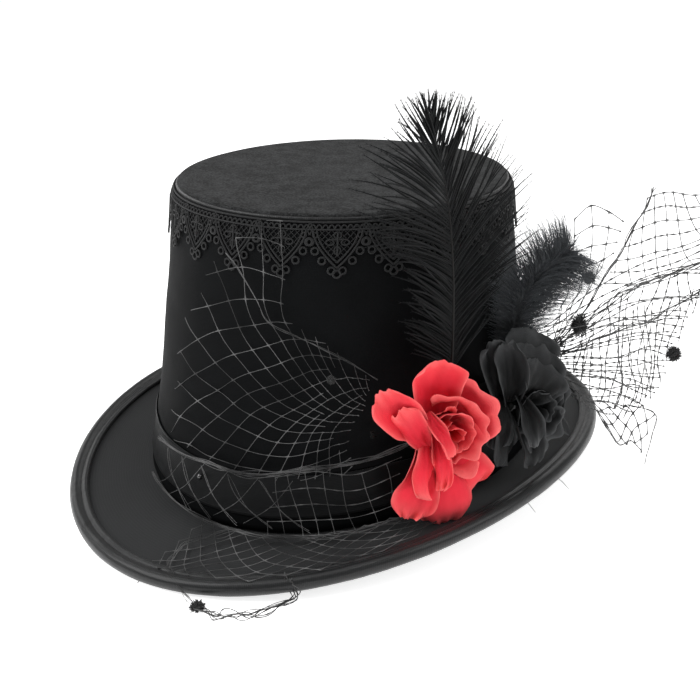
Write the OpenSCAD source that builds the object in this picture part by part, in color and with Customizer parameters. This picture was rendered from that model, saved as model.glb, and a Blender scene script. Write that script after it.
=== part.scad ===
// Fancy-dress top hat: a covered oval crown on a bound and wired brim, dressed with a ribbon
// band, a lace collar, two fabric roses, an ostrich plume, a marabou feather and two net veils.
// Origin: centre of the head opening where the crown meets the brim. +Z up, the hat's front
// faces -Y and the wearer's left, the dressed side, is +X.

/* [Crown] */
// Height of the crown from the head opening to the tip
crown_h = 128; // [90:1:170]
// Half of the crown's outer width at the brim, side to side
base_x = 89; // [80:1:98]
// Half of the crown's outer length at the brim, front to back
base_y = 102; // [92:1:112]
// Half of the tip's width, side to side
tip_x = 76; // [66:1:90]
// Half of the tip's length, front to back
tip_y = 77; // [68:1:100]
// Inward curve of the wall at half height
waist = 1.2; // [0:0.1:4]
// Thickness of the covered felt wall
wall_t = 2.0; // [1.5:0.1:3]
// Thickness of the tip
tip_t = 2.0; // [1.5:0.1:3]
// Thickness of the piped edge round the tip
welt_d = 2.0; // [1:0.1:3]

/* [Lining] */
// Thickness of the lining cloth
lining_t = 0.6; // [0.4:0.1:1]
// Height of the sweatband
sweatband_h = 32; // [25:1:40]
// Thickness of the sweatband
sweatband_t = 0.9; // [0.6:0.1:1.4]

/* [Brim] */
// Half of the brim's width over the binding, side to side
edge_x = 114.4; // [110:1:135]
// Half of the brim's length over the binding, front to back
edge_y = 146; // [130:1:160]
// Height of the brim's edge, averaged round the hat
edge_lift = 0.7; // [-4:0.1:6]
// How far the edge rises at the sides and falls at the front and back
edge_roll = 7.1; // [0:0.1:16]
// How far the head opening rises at the sides and falls at the front and back
base_roll = 3.7; // [0:0.1:6]
// Thickness of the brim's stiff core
core_t = 1.6; // [1:0.1:3]
// Thickness of the cloth on each face of the brim
cover_t = 0.7; // [0.4:0.1:1.2]
// Depth of the binding on the brim's faces
bind_depth = 7; // [5:0.5:12]
// Thickness of the binding
bind_t = 0.9; // [0.6:0.1:1.4]
// Diameter of the wire inside the binding
wire_d = 1.6; // [1:0.1:2.4]

/* [Trims] */
// Height of the ribbon band
band_h = 18; // [12:1:30]
// Gap between the brim and the band
band_gap = 7; // [4:0.5:12]
// Thickness of the ribbon
ribbon_t = 0.8; // [0.5:0.1:1.2]
// Number of points on the lace collar
lace_points = 22; // [16:1:28]
// Depth of the lace at its points
lace_drop = 22; // [16:0.5:30]
// Depth of the lace between its points
lace_web = 13; // [8:0.5:15]
// Thickness of the lace
lace_t = 0.7; // [0.5:0.1:1]
// Thickness of the pad that the flowers are sewn to
pad_t = 2.0; // [1:0.1:3]

/* [Flowers] */
// Radius of the red rose
red_r = 33; // [26:1:36]
// Radius of the black rose
black_r = 30; // [24:1:34]
// Thickness of a petal layer
petal_t = 0.6; // [0.4:0.1:0.8]
// Diameter of a flower's wire stem
stem_d = 2.4; // [1.6:0.1:3]

/* [Feathers] */
// Diameter of the plume's quill at its foot
quill_d = 2.4; // [1.5:0.1:4]
// Half of the plume's width at its widest
plume_w = 36; // [20:1:42]
// Half of the marabou feather's width at its widest
fluff_w = 12; // [8:1:18]

/* [Veils] */
// Thickness of the space that a layer of netting takes up
veil_t = 0.8; // [0.5:0.1:1.2]
// Reach of the front veil from where it is gathered
veil_reach = 134; // [100:1:140]
// Reach of the side veil sideways from where it fans out
fan_w = 82; // [60:1:95]
// Reach of the side veil upwards
fan_up = 66; // [50:1:80]
// Reach of the side veil downwards
fan_down = 45; // [30:1:50]
// Diameter of a chenille dot
dot_d = 6.4; // [4:0.2:8]
// Diameter of the bead on the band
bead_d = 3; // [2:0.5:4]

/* [Hidden] */

// Clearance between neighbouring pieces of cloth
lay = 0.3;
// Steps round the hat
steps = 72;
black_cloth = [0.09, 0.09, 0.1];
felt_grey = [0.2, 0.2, 0.21];
net_black = [0.05, 0.05, 0.05];
rose_red = [0.8, 0.13, 0.18];
rose_black = [0.13, 0.14, 0.15];

// Thickness of the whole brim, and how quickly it curls towards its edge
brim_t = core_t + 2 * cover_t + 2 * lay;
curl = 1.4;

// Where the front veil is gathered: angle round the hat and height on the wall
gather_a = -25;
gather_h = 35;
// Degrees round the hat for each millimetre along the wall
turn_per_mm = 360 / (PI * (base_x + base_y) * 0.94);

function mix(a, b, k) = a + (b - a) * k;
function unit(v) = v / norm(v);
function soft(x) = (x + sqrt(x * x + 64)) / 2;

// The head opening's height at angle a, and the outer half sizes of the wall at height z
function base_z(a) = base_roll * cos(2 * a);
function up_wall(z) = max(z, 0) / crown_h;
function wall_x(z) = mix(base_x, tip_x, up_wall(z)) - waist * sin(180 * up_wall(z));
function wall_y(z) = mix(base_y, tip_y, up_wall(z)) - waist * sin(180 * up_wall(z));
// A point off the wall, measured outwards
function off_wall(a, z, out) = [(wall_x(z) + out) * cos(a), (wall_y(z) + out) * sin(a), z];

// The middle of the brim's thickness; s is 0 at the wall's outside and 1 at the edge
function edge_z(a) = edge_lift + edge_roll * cos(2 * a);
function brim_rise(a) = edge_z(a) - base_z(a) + brim_t / 2;
function brim_span(a) = norm([(edge_x - base_x) * cos(a), (edge_y - base_y) * sin(a)]);
function brim_mid(a, s) = [
    (base_x + (s < 0 ? s * wall_t : s * (edge_x - base_x))) * cos(a),
    (base_y + (s < 0 ? s * wall_t : s * (edge_y - base_y))) * sin(a),
    base_z(a) - brim_t / 2 + brim_rise(a) * pow(max(s, 0), curl)];
function brim_out(a) = unit([(edge_x - base_x) * cos(a), (edge_y - base_y) * sin(a), 0]);
function brim_slope(a, s) = brim_rise(a) * curl * pow(max(s, 0), curl - 1) / brim_span(a);
function brim_up(a, s) = unit([0, 0, 1] - brim_slope(a, s) * brim_out(a));
function off_brim(a, s, up) = brim_mid(a, s) + up * brim_up(a, s);

function turned(list) = [for (i = [len(list) - 1 : -1 : 0]) list[i]];
function round_hat() = [for (i = [0 : steps - 1]) i * 360 / steps];

// A closed skin through rings of points; the last ring joins the first
module loop_skin(rings) {
    n = len(rings);
    m = len(rings[0]);
    polyhedron([for (r = rings) each r], [for (i = [0 : n - 1], j = [0 : m - 1])
        let (a = i * m + j, b = i * m + (j + 1) % m,
             c = (i + 1) % n * m + (j + 1) % m, d = (i + 1) % n * m + j)
        each [[a, b, c], [a, c, d]]]);
}

// A closed skin through rings of points with both ends capped
module bar_skin(rings) {
    n = len(rings);
    m = len(rings[0]);
    sides = [for (i = [0 : n - 2], j = [0 : m - 1])
        let (a = i * m + j, b = i * m + (j + 1) % m, c = b + m, d = a + m)
        each [[a, b, c], [a, c, d]]];
    caps = [for (j = [0 : m / 2 - 2], e = [0, (n - 1) * m])
        let (a = e + j, b = e + j + 1, c = e + m - 2 - j, d = e + m - 1 - j)
        each e == 0 ? [[a, c, b], [a, d, c]] : [[a, b, c], [a, c, d]]];
    polyhedron([for (r = rings) each r], concat(sides, caps));
}

// A ring of points round a centre, across two directions
function disc(centre, u, v, sides) =
    [for (k = [0 : sides - 1]) centre + cos(k * 360 / sides) * u + sin(k * 360 / sides) * v];

// Cloth that follows the wall all the way round, between two heights above the brim
module wall_sleeve(low, high, inner, outer, levels) {
    heights = [for (k = [0 : levels]) mix(low, high, k / levels)];
    loop_skin([for (a = round_hat()) concat(
        [for (h = heights) off_wall(a, h + foot(h, a), outer)],
        [for (h = turned(heights)) off_wall(a, h + foot(h, a), inner)])]);
}
// The brim's dip fades out towards the tip
function foot(h, a) = base_z(a) * (1 - h / crown_h);

// One layer of the brim
module brim_layer(low, high, inside, outside) {
    rows = [for (k = [0 : 4]) k / 4];
    loop_skin([for (a = round_hat())
        let (last = 1 - outside / brim_span(a), marks = [for (k = rows) mix(inside, last, k)])
        concat([for (s = marks) off_brim(a, s, low)], [for (s = turned(marks)) off_brim(a, s, high)])]);
}

module crown_side() {
    color(black_cloth) wall_sleeve(lay, crown_h - tip_t - lay, -wall_t, 0, 5);
}

module oval_plate(x, y, t) {
    linear_extrude(t) polygon([for (i = [0 : 143]) [x * cos(i * 2.5), y * sin(i * 2.5)]]);
}

module crown_tip() {
    color(felt_grey) translate([0, 0, crown_h - tip_t]) oval_plate(tip_x, tip_y, tip_t);
}

module tip_welt() {
    r = welt_d / 2;
    z = crown_h - r;
    color(black_cloth) loop_skin([for (a = round_hat())
        disc([(tip_x + r + lay) * cos(a), (tip_y + r + lay) * sin(a), z],
             [r * cos(a), r * sin(a), 0], [0, 0, r], 8)]);
}

module crown_lining() {
    color(black_cloth) wall_sleeve(sweatband_h + lay, crown_h - tip_t - lining_t - 3 * lay,
        -wall_t - lay - lining_t, -wall_t - lay, 3);
}

module tip_lining() {
    top = crown_h - tip_t - lay;
    inset = wall_t + lining_t + 3 * lay;
    color(black_cloth) translate([0, 0, top - lining_t])
        oval_plate(tip_x - inset, tip_y - inset, lining_t);
}

module sweatband() {
    // A little more clearance where the wall starts to lean
    outer = -wall_t - 1.5 * lay;
    color(black_cloth) wall_sleeve(-brim_t, sweatband_h, outer - sweatband_t, outer, 2);
}

// The small bow that marks the back of the sweatband
module sweatband_bow() {
    thick = 2.4;
    half_h = 4;
    half_w = 11.2;
    // The flat bow stands clear of the band's curve and of its inward lean
    curve = wall_y(0) * (1 - sqrt(1 - pow(half_w / wall_x(sweatband_h), 2)));
    y = wall_y(sweatband_h / 2 + half_h - base_roll) - wall_t - sweatband_t - 2 * lay - thick / 2 - curve;
    color(black_cloth) translate([0, y, sweatband_h / 2]) {
        rotate([90, 0, 0]) linear_extrude(thick * 0.6, center = true)
            polygon([[-half_w, -half_h], [0, -1], [half_w, -half_h],
                     [half_w, half_h], [0, 1], [-half_w, half_h]]);
        cube([3.6, thick, half_h], center = true);
    }
}

module brim_upper() {
    color(black_cloth) brim_layer(core_t / 2 + lay, brim_t / 2, -1, wire_d + 1.5);
}
module brim_core() {
    color(felt_grey) brim_layer(-core_t / 2, core_t / 2, -1, wire_d + 1.5);
}
module brim_under() {
    color(black_cloth) brim_layer(-brim_t / 2, -core_t / 2 - lay, -1, wire_d + 1.5);
}

module brim_wire() {
    r = wire_d / 2;
    color("silver") loop_skin([for (a = round_hat())
        let (s = 1 - (bind_t + lay + r) / brim_span(a))
        disc(off_brim(a, s, 0), r * cross([-sin(a), cos(a), 0], brim_up(a, s)) * -1,
             r * brim_up(a, s), 8)]);
}

// The folded strip that wraps the brim's edge and holds the wire
module brim_binding() {
    half = brim_t / 2 + lay;
    out = half + bind_t;
    outer = concat([[bind_depth, out]], [for (k = [90 : -30 : -90]) [out * (1 - cos(k)), out * sin(k)]],
        [[bind_depth, -out]]);
    inner = concat([[bind_depth, -half]],
        [for (k = [-60 : 30 : 60]) [out - half * cos(k), half * sin(k)]], [[bind_depth, half]]);
    color(black_cloth) loop_skin([for (a = round_hat())
        [for (p = concat(outer, inner)) off_brim(a, 1 - p[0] / brim_span(a), p[1])]]);
}

module hat_band() {
    color(black_cloth)
        wall_sleeve(band_gap, band_gap + band_h, lay, lay + ribbon_t, 1);
}

module band_bead() {
    z = 16;
    out = lay + ribbon_t + 0.1 + bead_d / 2;
    color("black") translate(off_wall(-90, z, out)) sphere(d = bead_d, $fn = 24);
}

// Lace collar with pointed pendants
module lace_collar() {
    per = 6;
    count = lace_points * per;
    top = crown_h - welt_d - lay;
    color(black_cloth) loop_skin([for (i = [0 : count - 1])
        let (a = -101.5 + i * 360 / count,
             near = abs(i % per - per / 2) / (per / 2),
             low = crown_h - mix(lace_web, lace_drop, near),
             mid = (low + top) / 2)
        [off_wall(a, low, lay + lace_t), off_wall(a, mid, lay + lace_t), off_wall(a, top, lay + lace_t),
         off_wall(a, top, lay), off_wall(a, mid, lay), off_wall(a, low, lay)]]);
}

// A patch of cloth off the wall, between two angles and two heights
module wall_patch(from, to, low, high, inner, outer) {
    across = [for (k = [0 : 12]) mix(from, to, k / 12)];
    up = [for (k = [0 : 6]) k / 6];
    bar_skin([for (a = across)
        let (bow = sqrt(1 - pow((2 * a - from - to) / (to - from) * 0.97, 2)),
             mid = (low + high) / 2, half = bow * (high - low) / 2)
        concat([for (k = up) off_wall(a, mix(mid - half, mid + half, k), inner)],
               [for (k = turned(up)) off_wall(a, mix(mid - half, mid + half, k), outer)])]);
}

pad_in = 2 * lay + ribbon_t;
pad_out = pad_in + pad_t;
module trim_pad() {
    color(black_cloth) wall_patch(-52, 22, 18, 62, pad_in, pad_out);
}

// Turns a flower that faces +Z so that it faces angle az, tipped up by el
module face(pos, az, el) {
    translate(pos) rotate([0, 90 - el, az]) children();
}

// A die-cut layer of petals: rim radius, foot height, rise, number of petals, turn and bow
module petal_layer(rim, foot, rise, petals, turn, bow) {
    around = 48;
    rows = [for (k = [0 : 4]) k / 4];
    hole = stem_d / 2 + lay;
    loop_skin([for (i = [0 : around - 1])
        let (a = i * 360 / around,
             lobe = 0.84 + 0.16 * abs(cos(petals * (a - turn) / 2)))
        concat([for (k = rows) petal_point(a, mix(hole, rim * lobe, k), foot + rise * pow(k, bow))],
               [for (k = turned(rows))
                petal_point(a, mix(hole, rim * lobe, k), foot + petal_t + rise * pow(k, bow))])]);
}
function petal_point(a, r, z) = [r * cos(a), r * sin(a), z];

module rose_cup() {
    cylinder(h = 5, r1 = 4, r2 = 7, $fn = 32);
    cylinder(h = 16, d = stem_d, $fn = 24);
}
module rose_bud(h) {
    translate([0, 0, 16.3]) rotate_extrude($fn = 32)
        polygon([[0, 0], [4, 0], [6.5, h * 0.35], [6.8, h * 0.6], [5, h * 0.9], [2.5, h], [0, h]]);
}

module outer_layer(r) { petal_layer(r, 5.3, r * 0.42, 5, 18, 1.6); }
module middle_layer(r) { petal_layer(r * 0.76, 7.6, r * 0.6, 4, 50, 1.5); }
module inner_layer(r) { petal_layer(r * 0.5, 10, r * 0.7, 3, 20, 1.6); }

// Each flower's seat on the pad, and the way it faces
red_pos = off_wall(-31, 42, pad_out + lay + 0.5);
black_pos = off_wall(3, 44, pad_out + lay + 1.2);
red_az = -34;
black_az = -6;
red_el = 6;
black_el = 12;

module red_rose_outer() { color(rose_red) face(red_pos, red_az, red_el) outer_layer(red_r); }
module red_rose_middle() { color(rose_red) face(red_pos, red_az, red_el) middle_layer(red_r); }
module red_rose_inner() { color(rose_red) face(red_pos, red_az, red_el) inner_layer(red_r); }
module red_rose_bud() { color(rose_red) face(red_pos, red_az, red_el) rose_bud(red_r * 0.5); }
module red_rose_cup() { color("darkgreen") face(red_pos, red_az, red_el) rose_cup(); }
module black_rose_outer() { color(rose_black) face(black_pos, black_az, black_el) outer_layer(black_r); }
module black_rose_middle() { color(rose_black) face(black_pos, black_az, black_el) middle_layer(black_r); }
module black_rose_inner() { color(rose_black) face(black_pos, black_az, black_el) inner_layer(black_r); }
module black_rose_bud() { color(rose_black) face(black_pos, black_az, black_el) rose_bud(black_r * 0.5); }
module black_rose_cup() { color(rose_black) face(black_pos, black_az, black_el) rose_cup(); }

// A leaf sewn under the black rose, lying over the side of the brim
module black_leaf() {
    start = off_wall(11, 24, pad_out + lay);
    tip = off_brim(17, 0.74, brim_t / 2 + 1.5);
    side = [-sin(11), cos(11), 0];
    color(rose_black) bar_skin([for (k = [0 : 8])
        let (c = mix(start, tip, k / 8) + [0, 0, 4 * sin(k * 22.5)],
             w = 1 + 9 * sin(min(k + 0.4, 7.7) * 22.5))
        [c - w * side, c + w * side, c + w * side + [0, 0, petal_t], c - w * side + [0, 0, petal_t]]]);
}

// The plume stands on edge outside the wall; k runs from its foot to its tip
plume_az = -20;
plume_l = 148;
plume_side = [-sin(plume_az), cos(plume_az), 0];
plume_out = [cos(plume_az), sin(plume_az), 0];
plume_foot = off_wall(-22, 32, pad_out + lay + quill_d / 2);
function plume_line(k) = plume_foot + 4 * (1 - pow(1 - k, 3)) * plume_out
    - 20 * pow(k, 4) * plume_side + [0, 0, plume_l * k];

module plume_quill() {
    color([0.1, 0.09, 0.08]) bar_skin([for (i = [0 : 14])
        let (k = i / 14 * 0.93, r = quill_d / 2 * (1 - 0.75 * k))
        disc(plume_line(k), r * plume_side, r * plume_out, 8)]);
}

// The barbs on both sides of the quill, as one flat body that the quill lies against
module plume_vane() {
    low = 0.3;
    color(net_black) bar_skin([for (i = [0 : 14])
        let (k = mix(low, 1, i / 14),
             w = 2 + plume_w * pow(sin(180 * pow(i / 15.5, 0.9)), 0.7),
             c = plume_line(k) + (quill_d / 2 + lay) * plume_out)
        [c - w * plume_side, c - w / 2 * plume_side, c + w / 2 * plume_side,
         c + w * plume_side, c + w * plume_side + 1.5 * plume_out, c + w / 2 * plume_side + 4 * plume_out,
         c - w / 2 * plume_side + 4 * plume_out, c - w * plume_side + 1.5 * plume_out]]);
}

// The marabou feather leans out and back from behind the black rose
fluff_foot = off_wall(8, 52, pad_out + lay + 0.8);
fluff_tip = [111, 31, 111];
function fluff_line(k) = mix(fluff_foot, fluff_tip, k) + [-2, -2, 4] * sin(180 * k);

module fluff_quill() {
    color([0.1, 0.09, 0.08]) bar_skin([for (i = [0 : 8])
        let (k = i / 8 * 0.9) disc(fluff_line(k), [0.8, 0, 0] * (1 - k / 2), [0, 0.8, 0] * (1 - k / 2), 8)]);
}
module fluff_vane() {
    across = unit([0.6, 0.2, -0.35]);
    deep = unit([0.5, -0.8, 0]);
    color(net_black) bar_skin([for (i = [0 : 10])
        let (k = mix(0.4, 1, i / 10), w = 2 + fluff_w * sin(180 * pow(i / 11.5, 0.8)),
             c = fluff_line(k) + deep * 1.5)
        [c - w * across, c + w * across, c + w * across + 2 * deep, c + w / 2 * across + 7 * deep,
         c - w / 2 * across + 7 * deep, c - w * across + 2 * deep]]);
}

// A point of the front veil: reach from the gather, direction, and height off the hat.
// The net runs down the wall, rounds the corner and lies out over the brim.
veil_in = pad_out + lay;
function drape(reach, dir, lift) =
    let (a = gather_a - reach * cos(dir) * turn_per_mm,
         q = gather_h + reach * sin(dir),
         out = soft(-q) + lift,
         s = out / brim_span(a),
         rise = brim_rise(a) * pow(min(s, 1.05), curl),
         z = base_z(a) * (1 - max(q, 0) / crown_h) + rise + soft(q) + lift)
    off_wall(a, z, out);

module front_veil() {
    rays = [for (k = [0 : 16]) mix(-46, 54, k / 16)];
    reach = [for (k = [0 : 12]) k / 12];
    color(net_black) bar_skin([for (dir = rays)
        let (far = veil_reach - 0.011 * pow(dir - 8, 2))
        concat([for (k = reach) drape(mix(24, far, k), dir, veil_in)],
               [for (k = turned(reach)) drape(mix(24, far, k), dir, veil_in + veil_t)])]);
}

// The side veil: a squarish fan that is pinched at the wall behind the black rose.
// A point of it: reach from the eye of the fan, direction, and height off its face.
fan_side = unit([0.72, 0.69, 0]);
fan_face = unit([0.69, -0.72, 0]);
fan_seat = off_wall(17, 50, pad_out + lay);
fan_eye = fan_seat + 7 * fan_side + 9 * fan_face + [0, 0, 6];
function fan_ray(dir) = cos(dir) * fan_side + sin(dir) * [0, 0, 1];
function fan_rim(dir) = 1 / pow(pow(cos(dir) / fan_w, 6)
    + pow(abs(sin(dir)) / (dir > 0 ? fan_up : fan_down), 6), 1 / 6);
function fan(reach, dir, lift) = fan_eye + reach * fan_ray(dir)
    + (lift + 4 * sin(dir * 4) * reach / fan_w) * fan_face;

module side_veil() {
    rays = [for (k = [0 : 14]) mix(-40, 84, k / 14)];
    reach = [for (k = [1 : 8]) k / 8];
    color(net_black) bar_skin([for (dir = rays)
        concat([fan_seat + 2 * fan_ray(dir)],
               [for (k = reach) fan(fan_rim(dir) * k, dir, 0)],
               [for (k = turned(reach)) fan(fan_rim(dir) * k, dir, veil_t)],
               [fan_seat + 2 * fan_ray(dir) + veil_t * fan_face])]);
}

// The knot of thread that gathers the front veil
module veil_tack() {
    color("black") translate(drape(27, 0, veil_in + veil_t + lay + 1.5)) sphere(d = 3, $fn = 24);
}

// Chenille dots: one at the front veil's hem beside the binding, one on the front veil,
// and three on the side veil
module chenille(pos, d) { translate(pos) sphere(d = d, $fn = 24); }
module front_dots() {
    hem_a = -73;
    hem = off_brim(hem_a, 1, 0) + (dot_d / 2 + lay) * brim_out(hem_a);
    small_d = dot_d * 0.55;
    color(net_black) {
        chenille(hem, dot_d);
        chenille(drape(54, 35, veil_in + veil_t + lay + small_d / 2), small_d);
    }
}
module side_dots() {
    off = veil_t + lay + dot_d / 2;
    color(net_black) {
        chenille(fan(59, -5, off), dot_d);
        chenille(fan(37, 63, off), dot_d);
        chenille(fan(18, 42, off), dot_d);
    }
}

crown_side();
crown_tip();
tip_welt();
crown_lining();
tip_lining();
sweatband();
sweatband_bow();
brim_upper();
brim_core();
brim_under();
brim_wire();
brim_binding();
hat_band();
band_bead();
lace_collar();
trim_pad();
red_rose_outer();
red_rose_middle();
red_rose_inner();
red_rose_bud();
red_rose_cup();
black_rose_outer();
black_rose_middle();
black_rose_inner();
black_rose_bud();
black_rose_cup();
black_leaf();
plume_quill();
plume_vane();
fluff_quill();
fluff_vane();
front_veil();
side_veil();
veil_tack();
front_dots();
side_dots();
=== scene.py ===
import random
from math import asin, atan2, cos, degrees, exp, pi, radians, sin, sqrt

import bmesh
import bpy
from mathutils import Matrix, Vector, noise


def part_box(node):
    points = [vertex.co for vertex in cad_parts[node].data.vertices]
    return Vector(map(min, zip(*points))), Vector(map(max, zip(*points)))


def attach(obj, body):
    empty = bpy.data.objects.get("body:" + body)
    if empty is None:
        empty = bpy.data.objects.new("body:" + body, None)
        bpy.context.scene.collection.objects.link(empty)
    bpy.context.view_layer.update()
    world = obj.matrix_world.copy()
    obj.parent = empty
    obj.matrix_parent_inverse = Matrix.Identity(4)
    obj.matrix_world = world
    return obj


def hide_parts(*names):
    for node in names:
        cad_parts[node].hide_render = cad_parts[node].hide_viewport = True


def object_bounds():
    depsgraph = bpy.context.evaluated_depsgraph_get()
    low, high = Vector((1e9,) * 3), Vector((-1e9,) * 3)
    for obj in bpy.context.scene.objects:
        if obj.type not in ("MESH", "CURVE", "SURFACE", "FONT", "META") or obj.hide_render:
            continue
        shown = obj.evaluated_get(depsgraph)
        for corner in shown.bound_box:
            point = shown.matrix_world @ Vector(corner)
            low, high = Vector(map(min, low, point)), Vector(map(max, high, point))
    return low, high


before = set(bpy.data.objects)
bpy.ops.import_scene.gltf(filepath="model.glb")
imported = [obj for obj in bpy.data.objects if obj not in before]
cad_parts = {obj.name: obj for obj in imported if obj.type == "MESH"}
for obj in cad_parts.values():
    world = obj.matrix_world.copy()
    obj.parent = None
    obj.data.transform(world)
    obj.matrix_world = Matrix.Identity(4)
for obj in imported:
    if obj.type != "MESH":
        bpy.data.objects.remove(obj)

cad_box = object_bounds()

# ---------------------------------------------------------------- camera, light and floor
# The hat stands on a pale table in soft daylight that comes mostly from the front left,
# seen from a little above and from its dressed side.
MM = 0.001
EYE_SWING = 38.44
EYE_RISE = 22.62
EYE_ROLL = -0.94
EYE_DISTANCE = 510.6
LENS = 53.77
AIM_RIGHT = 2.06
AIM_HEIGHT = 40.5
LAMP_AIM = 0.06
UP = Vector((0, 0, 1))


def compass(swing, rise=0.0):
    """The direction that lies swing degrees round from the hat's front and rise degrees up."""
    return Vector((sin(radians(swing)) * cos(radians(rise)),
                   -cos(radians(swing)) * cos(radians(rise)), sin(radians(rise))))


back = compass(EYE_SWING, EYE_RISE)
right = compass(EYE_SWING + 90)
above = back.cross(right)
tilt = radians(EYE_ROLL)
camera = bpy.data.objects.new("camera", bpy.data.cameras.new("camera"))
camera.data.lens = LENS
camera.data.sensor_width = 36
camera.data.clip_start = 0.01
eye = right * AIM_RIGHT + UP * AIM_HEIGHT + back * EYE_DISTANCE
turned = Matrix((cos(tilt) * right + sin(tilt) * above, cos(tilt) * above - sin(tilt) * right, back))
camera.matrix_world = Matrix.Translation(eye * MM) @ turned.transposed().to_4x4()
bpy.context.scene.collection.objects.link(camera)
bpy.context.scene.camera = camera


def lamp(name, swing, rise, distance, size, power):
    """A square soft light that faces the hat."""
    light = bpy.data.objects.new(name, bpy.data.lights.new(name, "AREA"))
    light.data.size = size
    light.data.energy = power
    place = compass(swing, rise) * distance + UP * LAMP_AIM
    facing = compass(swing, rise).to_track_quat("Z", "Y").to_matrix().to_4x4()
    light.matrix_world = Matrix.Translation(place) @ facing
    bpy.context.scene.collection.objects.link(light)


lamp("window", -34, 38, 0.9, 0.6, 5.4)
lamp("left", -95, 25, 1.0, 0.5, 1.6)
lamp("ceiling", 20, 80, 1.0, 0.9, 3)
lamp("side", 100, 30, 1.0, 0.6, 3)
lamp("rim", 190, 35, 1.1, 0.6, 2)
lamp("glint", 62, 60, 1.1, 0.12, 0.5)
world = bpy.data.worlds.new("studio")
world.use_nodes = True
world.node_tree.nodes["Background"].inputs["Color"].default_value = (1, 1, 1, 1)
world.node_tree.nodes["Background"].inputs["Strength"].default_value = 0.32
bpy.context.scene.world = world
bpy.context.scene.view_settings.view_transform = "Standard"


class Signal:
    """An output of a finish's nodes; sums written with it add Math nodes."""

    def __init__(self, finish, socket):
        self.finish = finish
        self.socket = socket

    def sum_of(self, operation, other):
        return self.finish.node("ShaderNodeMath", {"operation": operation}, {0: self, 1: other})

    def __add__(self, other):
        return self.sum_of("ADD", other)

    def __mul__(self, other):
        return self.sum_of("MULTIPLY", other)

    __radd__ = __add__
    __rmul__ = __mul__


class Finish:
    """One material, put together from nodes."""

    WAVE_SCALE = 0.314  # at this scale the wave texture has one ridge in a unit

    def __init__(self, name, **constants):
        self.material = bpy.data.materials.new(name)
        self.material.use_nodes = True
        self.tree = self.material.node_tree
        self.shader = self.tree.nodes["Principled BSDF"]
        for socket, value in constants.items():
            self.shader.inputs[socket.replace("_", " ")].default_value = value

    def node(self, kind, settings, sockets, output=0):
        made = self.tree.nodes.new(kind)
        for setting, value in settings.items():
            setattr(made, setting, value)
        for socket, value in sockets.items():
            self.feed(made.inputs[socket], value)
        return Signal(self, made.outputs[output])

    def feed(self, socket, value):
        if isinstance(value, Signal):
            self.tree.links.new(value.socket, socket)
        else:
            socket.default_value = value

    def place(self):
        return self.node("ShaderNodeTexCoord", {}, {}, "Object")

    def flat(self, layer="cloth"):
        """The place on the flat cloth in millimetres, or on another of its maps."""
        return self.node("ShaderNodeUVMap", {"uv_map": layer}, {})

    def cloud(self, size, detail=3.0):
        """Soft noise whose features are about size millimetres across."""
        return self.node("ShaderNodeTexNoise", {},
                         {"Vector": self.place(), "Scale": 1000 / size, "Detail": detail})

    def wave(self, pitch, along="X", warp=0.0):
        """Ridges at a pitch in millimetres along one axis of the flat cloth."""
        return self.node("ShaderNodeTexWave", {"bands_direction": along, "wave_type": "BANDS"},
                         {"Vector": self.flat(), "Scale": self.WAVE_SCALE / pitch,
                          "Distortion": warp, "Detail": 2.0, "Detail Scale": 1.0})

    def spread(self, value, low, high):
        """The value, stretched so that low becomes 0 and high becomes 1."""
        return self.node("ShaderNodeMapRange", {}, {0: value, 1: low, 2: high})

    def blend(self, factor, low, high):
        mixed = self.node("ShaderNodeMix", {"data_type": "RGBA"}, {0: factor}, 2)
        self.feed(mixed.socket.node.inputs[6], low)
        self.feed(mixed.socket.node.inputs[7], high)
        return mixed

    def show(self, colour, roughness=None, relief=None, depth=0.1):
        self.feed(self.shader.inputs["Base Color"], colour)
        if roughness:
            self.feed(self.shader.inputs["Roughness"], roughness)
        if relief:
            bump = self.node("ShaderNodeBump", {},
                             {"Height": relief, "Distance": depth * MM, "Strength": 1.0})
            self.feed(self.shader.inputs["Normal"], bump)
        return self.material


def grey(level, blue=0.0):
    return (level, level * (1 + blue / 2), level * (1 + blue), 1)


def built(name, mesh):
    """Turns a bmesh in millimetres into an object in metres at the origin."""
    bmesh.ops.scale(mesh, vec=(MM, MM, MM), verts=mesh.verts)
    data = bpy.data.meshes.new(name)
    mesh.to_mesh(data)
    mesh.free()
    data.shade_smooth()
    piece = bpy.data.objects.new(name, data)
    bpy.context.scene.collection.objects.link(piece)
    return piece


FLOOR_SIZE = 40000
floor_mesh = bmesh.new()
bmesh.ops.create_grid(floor_mesh, x_segments=1, y_segments=1, size=FLOOR_SIZE / 2)
bmesh.ops.translate(floor_mesh, vec=(0, 0, cad_box[0][2] / MM - 0.05), verts=floor_mesh.verts)
floor = built("floor", floor_mesh)
table = Finish("pale_table", Roughness=0.7, Specular_IOR_Level=0.1, Emission_Color=(1, 1, 1, 1),
               Emission_Strength=0.74)
floor.data.materials.append(table.show(table.blend(table.cloud(60), grey(0.86), grey(0.9)),
                                       relief=table.cloud(1.2), depth=0.02))

# ---------------------------------------------------------------- crown wall
# A wall of stiff felt, about 2 mm thick, wrapped in smooth dull cloth. It leans in from an
# oval head line to a rounder tip, with its foot following the dip of the brim.
BASE_X = 89
BASE_Y = 102
WAIST = 1.2
WALL_T = 2.0
BASE_ROLL = 3.7
LAY = 0.3
SHOULDER = 6.0
SHOULDER_IN = 2.2
TIP_X, TIP_Y, CROWN_H = Vector(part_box("crown_tip")[1]) / MM


def mix(first, second, share):
    return first + (second - first) * share


def clamp(value, low=0, high=1):
    return max(low, min(high, value))


def ring(a, x=1.0, y=1.0, z=0.0):
    """A point of an oval with half sizes x and y, a degrees round from the wearer's left."""
    return Vector((x * cos(radians(a)), y * sin(radians(a)), z))


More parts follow.
